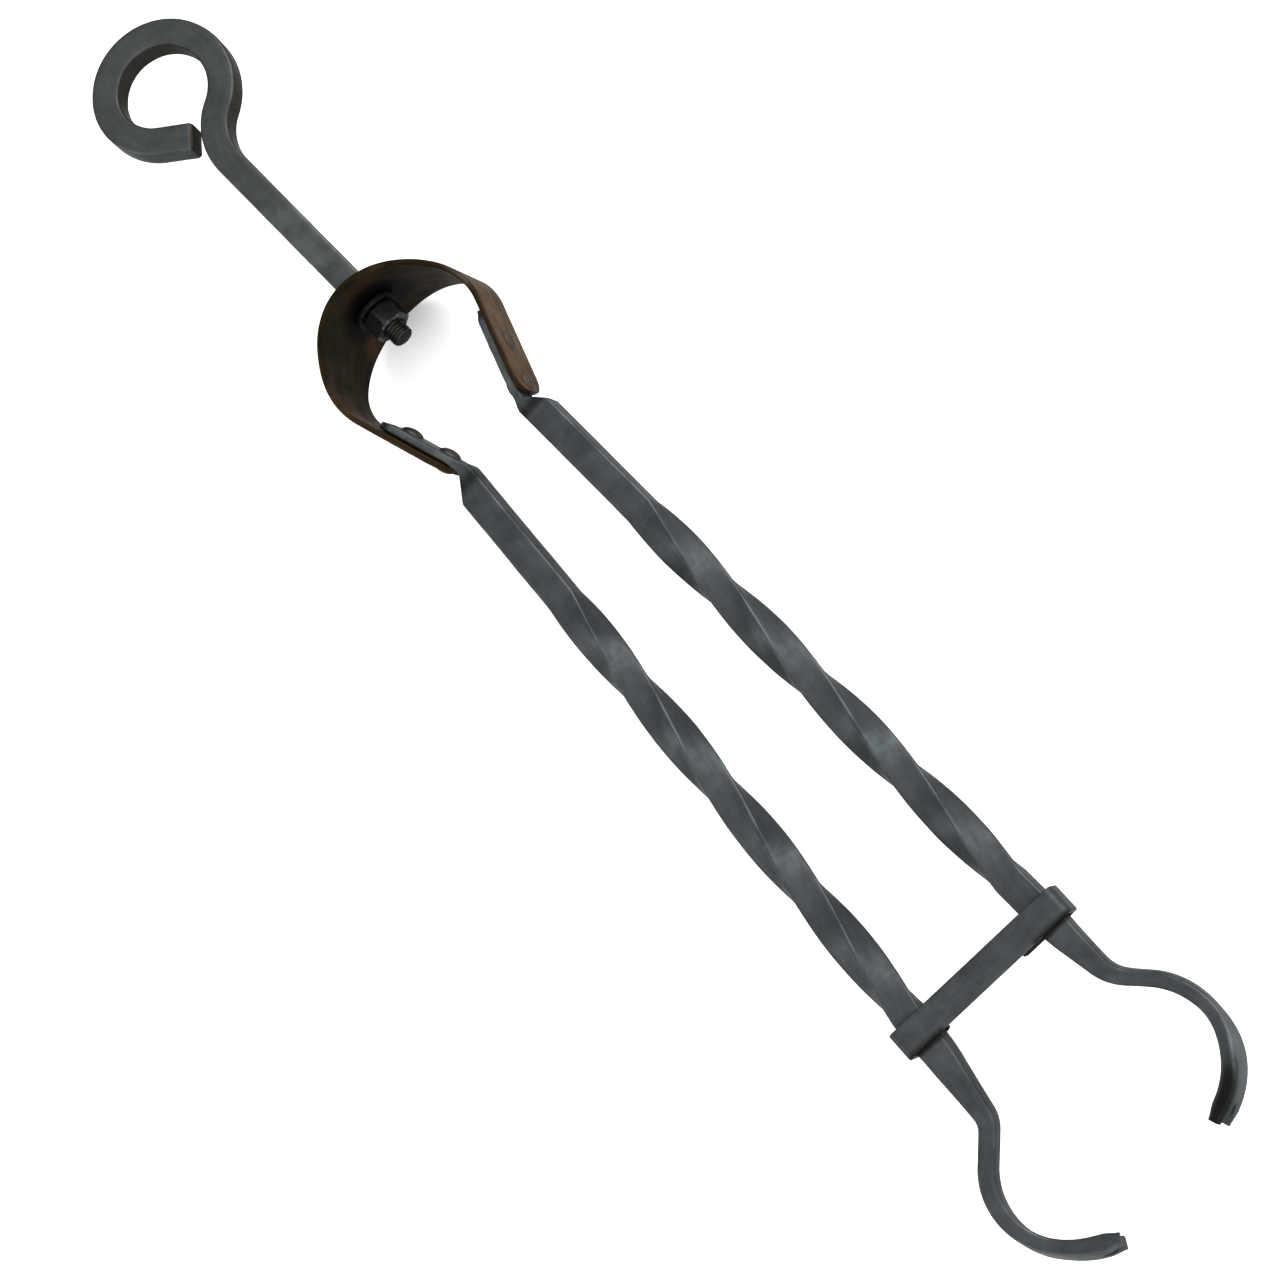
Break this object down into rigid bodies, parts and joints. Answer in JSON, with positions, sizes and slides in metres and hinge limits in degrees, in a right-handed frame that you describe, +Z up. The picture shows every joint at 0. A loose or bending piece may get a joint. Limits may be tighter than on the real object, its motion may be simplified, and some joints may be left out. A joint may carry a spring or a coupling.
{
  "type": "fireplace tongs",
  "caption": "Long sprung tongs: an eye handle bolted to a wide spring bow, twisted square arms with C-shaped claws and a hooked guide bar across them.",
  "frame": {"origin": "bottom centre of the tongs' bounding box, with the tongs lying flat and the spring bow's lower rim at Z = 0", "axes": "+X from the eye handle to the claws, +Y to the left arm when looking along +X, +Z up out of the plane of the tongs"},
  "size_m": [0.5404, 0.0986, 0.0544],
  "materials": {
    "forged_steel": "hot-forged bar, oil-blackened to a dark blue-grey satin",
    "spring_steel": "heat-tinted spring strip, brown to near black",
    "fastener_steel": "black oxide",
    "rivet_steel": "hammered dark steel"
  },
  "bodies": {
    "handle_and_bow": {"handle": "forged_steel", "bow_spring": "spring_steel", "stud_washer": "fastener_steel", "stud_nut": "fastener_steel"},
    "left_arm": {"left_arm": "forged_steel", "left_rivet_upper": "rivet_steel", "left_rivet_lower": "rivet_steel"},
    "right_arm": {"right_arm": "forged_steel", "right_rivet_upper": "rivet_steel", "right_rivet_lower": "rivet_steel", "guide_bar": "forged_steel"}
  },
  "joints": [
    {"name": "left_flex", "type": "hinge", "parent": "handle_and_bow", "child": "left_arm", "pos_m": [-0.11555, 0.02537, 0.0272], "axis": [0, 0, -1], "range_deg": [0, 3.2], "stiffness_Nm_per_rad": 40, "deforming": ["bow_spring"]},
    {"name": "right_flex", "type": "hinge", "parent": "handle_and_bow", "child": "right_arm", "pos_m": [-0.11555, -0.02263, 0.0272], "axis": [0, 0, 1], "range_deg": [0, 3.2], "stiffness_Nm_per_rad": 40, "deforming": ["bow_spring"]}
  ]
}
